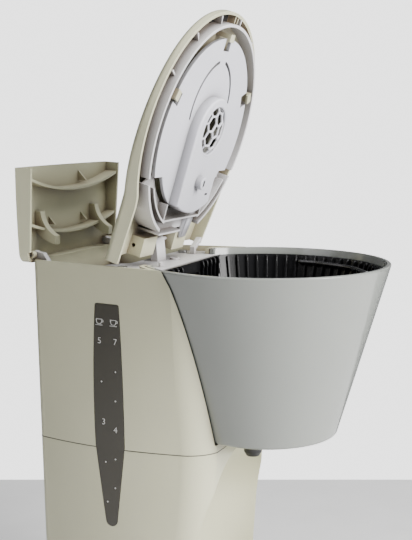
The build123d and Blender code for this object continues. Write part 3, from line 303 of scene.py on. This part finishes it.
# ---------------------------------------------------------------------------
# Level window: scale marks printed on its outer face
# ---------------------------------------------------------------------------
window_skin = BVHTree.FromObject(frame["nodes"]["level_window"], bpy.context.evaluated_depsgraph_get())


def window_face(y, z):
    """The point of the window's outer face at this depth and height."""
    spot = at(-90, y, z)
    hit = window_skin.ray_cast(spot, Vector((1, 0, 0)))[0]
    return hit - Vector((0.08 * MM, 0, 0))


def print_figure(text, y, z, height):
    """One digit of the scale, as a thin raised print."""
    data = bpy.data.curves.new("figure", "FONT")
    data.body = text
    data.size = height * MM
    data.align_x = "CENTER"
    data.align_y = "CENTER"
    data.extrude = 0.05 * MM
    source = bpy.data.objects.new("figure", data)
    mesh = bpy.data.meshes.new_from_object(source)
    bpy.data.objects.remove(source)
    axes = Matrix(((0, 0, -1), (-1, 0, 0), (0, 1, 0))).to_4x4()
    mesh.transform(Matrix.Translation(window_face(y, z)) @ axes)
    mesh.materials.clear()
    mesh.materials.append(finishes["ink"])
    piece = link(bpy.data.objects.new("scale_figure_" + text, mesh))
    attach(piece, "housing")


# Two scales in cups share the window: large cups on the rear column, small cups on the front one.
# Each is evenly stepped down from the full mark; the full and the half-way cups carry a figure.
FULL_MARK = -44.5
LOWEST_MARK = -150
FIGURE_HEIGHT = 5.2
DOT_R = 0.55
CUP_HEIGHT = -32.5       # where the two cup signs stand
PRINT_R = 0.22
SCALES = ({"cups": 5, "half": 3, "step": 24.5, "depth": 82, "lean": -0.04},
          {"cups": 7, "half": 4, "step": 17.8, "depth": 71, "lean": 0.02})
scale_marks = []
for scale in SCALES:
    for cups in range(scale["cups"], 0, -1):
        drop = (scale["cups"] - cups) * scale["step"]
        if FULL_MARK - drop > LOWEST_MARK:
            depth = scale["depth"] + scale["lean"] * drop
            scale_marks.append((cups in (scale["cups"], scale["half"]), str(cups), depth, FULL_MARK - drop))

for has_figure, figure, depth, height in scale_marks:
    if has_figure:
        print_figure(figure, depth, height, FIGURE_HEIGHT)


def scale_dots(bm):
    for has_figure, figure, depth, height in scale_marks:
        if not has_figure:
            bmesh.ops.create_icosphere(bm, subdivisions=2, radius=DOT_R * MM,
                                       matrix=Matrix.Translation(window_face(depth, height))
                                       @ Matrix.Diagonal((0.2, 1, 1, 1)))


mesh_piece("scale_dots", scale_dots, STILL, "housing", "ink")


def cup_runs(depth, height):
    """Outline of a small cup seen from the side, with its saucer."""
    bowl = [(2.0, 1.0), (1.7, -1.0), (0.8, -1.8), (-0.8, -1.8), (-1.7, -1.0), (-2.0, 1.0), (2.0, 1.0)]
    ear = [(-1.9, 0.6), (-2.8, 0.5), (-2.8, -0.5), (-1.7, -0.7)]
    dish = [(2.4, -2.5), (-2.4, -2.5)]
    return [[window_face(depth + dy, height + dz) for dy, dz in run] for run in (bowl, ear, dish)]


tubes("scale_cups", cup_runs(82, CUP_HEIGHT) + cup_runs(72, CUP_HEIGHT), PRINT_R * MM, STILL, "housing",
      "ink")


# ---------------------------------------------------------------------------
# Seam between the two housings: a thin dark line of painted shade all the way round
# ---------------------------------------------------------------------------
def outer_rim(node_name, height):
    """Mesh edges of a shell's outside at one height."""
    bm = bmesh.new()
    bm.from_mesh(frame["nodes"][node_name].data)
    bmesh.ops.remove_doubles(bm, verts=bm.verts, dist=0.005 * MM)
    runs = []
    for edge in bm.edges:
        a, b = (vert.co for vert in edge.verts)
        if abs(a.z - height) > 0.05 * MM or abs(b.z - height) > 0.05 * MM:
            continue
        walls = [face.normal for face in edge.link_faces if abs(face.normal.z) < 0.5]
        middle = (a + b) / 2
        outward = Vector((middle.x, middle.y - FILTER_Y - 75 * MM, 0))
        if walls and walls[0].dot(outward) > 0 and len(edge.link_faces) == 2 and len(walls) == 1:
            runs.append([a.copy(), b.copy()])
    bm.free()
    return runs


seam_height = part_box("upper_housing")[0].z
# Black tube in the rubber finish: painted shade standing in for the shadow inside the seam.
tubes("painted_seam_shade", outer_rim("upper_housing", seam_height), 0.22 * MM, STILL, "housing", "rubber")

# ---------------------------------------------------------------------------
# Lid: football grille in the boss, painted shade of a finger recess at the free edge, arm of the water channel
# ---------------------------------------------------------------------------
GRILLE_Y = -3.0
GRILLE_R = 15.6
GRILLE_LOW = -8.6
ball = bmesh.new()
bmesh.ops.create_icosphere(ball, subdivisions=2, radius=1)
bars = []
for edge in ball.edges:
    ends = [face.calc_center_median().normalized() for face in edge.link_faces]
    if min(end.z for end in ends) > 0.12:
        bars.append([at(end.x * GRILLE_R, GRILLE_Y + end.y * GRILLE_R, GRILLE_LOW + 3 - 3.6 * end.z)
                     for end in ends])
ball.free()
grille = tubes("grille_bars", bars, 0.75 * MM, LID, "lid", "inner_grey")
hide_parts("shower_grille")
ring = [at(GRILLE_R * cos(turn * pi / 32), GRILLE_Y + GRILLE_R * sin(turn * pi / 32), GRILLE_LOW + 1.2)
        for turn in range(64)]
tubes("grille_rim", [ring], 1.1 * MM, LID, "lid", "inner_grey", True)


def curved_bar(bm, inner, outer, start, end, low, high, steps=16):
    """A bar bent round the lid's centre, between two angles in degrees."""
    rings = []
    for step in range(steps + 1):
        angle = radians(start + (end - start) * step / steps)
        rings.append([bm.verts.new(at(radius * cos(angle), radius * sin(angle), height))
                      for radius, height in ((inner, low), (outer, low), (outer, high), (inner, high))])
    for first, second in zip(rings, rings[1:]):
        for corner in range(4):
            after = (corner + 1) % 4
            bm.faces.new((first[corner], first[after], second[after], second[corner]))
    bm.faces.new(rings[0])
    bm.faces.new(rings[-1])


# Thin black slab in the groove: painted shade standing in for the depth of the finger recess.
mesh_piece("finger_recess_shade", lambda bm: curved_bar(bm, 67.2, 71.4, -106, -86, 4.6, 5.4), LID, "lid",
           "black_plastic", False)


def finger_ribs(bm):
    for angle in (-84, -80.5):
        curved_bar(bm, 67.0, 71.7, angle, angle + 1.0, 0.8, 8, 2)


mesh_piece("finger_ribs", finger_ribs, LID, "lid", "body", False)


def channel_arm(bm):
    """Flat arm that carries the water channel back to the hinge."""
    low, high = [], []
    for x, y in ((15, 47), (27, 47), (25, 71), (17, 71)):
        low.append(bm.verts.new(at(x, y, -1.5 + 0.12 * (y - 47))))
        high.append(bm.verts.new(at(x, y, 5.5)))
    bm.faces.new(low)
    bm.faces.new(high)
    for corner in range(4):
        after = (corner + 1) % 4
        bm.faces.new((low[corner], low[after], high[after], high[corner]))
    bmesh.ops.bevel(bm, geom=list(bm.edges), offset=0.8 * MM, segments=3, affect="EDGES")


mesh_piece("channel_arm", channel_arm, LID, "lid", "inner_grey")

# ---------------------------------------------------------------------------
# Insert: rounded rib tops along the flat back and round the cone; painted highlight on the bail
# ---------------------------------------------------------------------------
RIB_TOP = -4.6
RIB_PITCH = 6.3
CHANNEL_HALF = 12.5      # the flat ribs inside this are notched for the lid's water channel
FLAT_RIBS = 14
FLAT_HALF = 41           # the flat back's ribs end here
ROUND_RIBS = 64
rib_tops = []
for count in range(FLAT_RIBS):
    x = (count - (FLAT_RIBS - 1) / 2) * RIB_PITCH
    if CHANNEL_HALF < abs(x) < FLAT_HALF:
        rib_tops.append([at(x, 49.5, RIB_TOP), at(x, 48.2, RIB_TOP - 0.2), at(x, 47.6, RIB_TOP - 1.4),
                         at(x, 47.5, RIB_TOP - 4)])
for count in range(ROUND_RIBS):
    turn = 2 * pi * (count + 0.5) / ROUND_RIBS
    if sin(turn) < 0.60:
        rib_tops.append([at(radius * cos(turn), radius * sin(turn), height) for radius, height in
                         ((68.0, RIB_TOP), (66.7, RIB_TOP - 0.2), (66.1, RIB_TOP - 1.4), (65.3, RIB_TOP - 4))])
tubes("rib_tops", rib_tops, 0.55 * MM, STILL, "housing", "insert")

BAIL_R = 61.2
BAIL_Z = -8.0
bail_highlight_run = [at(BAIL_R * cos(radians(turn)), BAIL_R * sin(radians(turn)), BAIL_Z)
            for turn in range(-100, -66, 3)]
# Light-grey sleeve round the front of the black bail: a painted highlight where the glossy bar catches the light.
finishes["bail_highlight"] = plastic("painted_bail_highlight", (0.55, 0.55, 0.56), (0.3, 0.3, 0.3), 0.25, 0.05, 1400, 0.3)
tubes("painted_bail_highlight", [bail_highlight_run], 1.75 * MM, STILL, "bail", "bail_highlight")

# ---------------------------------------------------------------------------
# Flap: small gussets that stiffen its ribs
# ---------------------------------------------------------------------------
def gussets(bm):
    for x, y in ((18, 91.5), (-20, 117.5), (20, 117.5)):
        spots = [at(x, y, 11.6), at(x, y - 7, 11.6), at(x, y, 4.6)]
        near = [bm.verts.new(spot) for spot in spots]
        far = [bm.verts.new(spot + Vector((1.2 * MM, 0, 0))) for spot in spots]
        bm.faces.new(near)
        bm.faces.new(far)
        for corner in range(3):
            after = (corner + 1) % 3
            bm.faces.new((near[corner], near[after], far[after], far[corner]))


mesh_piece("flap_gussets", gussets, FLAP, "flap", "body", False)
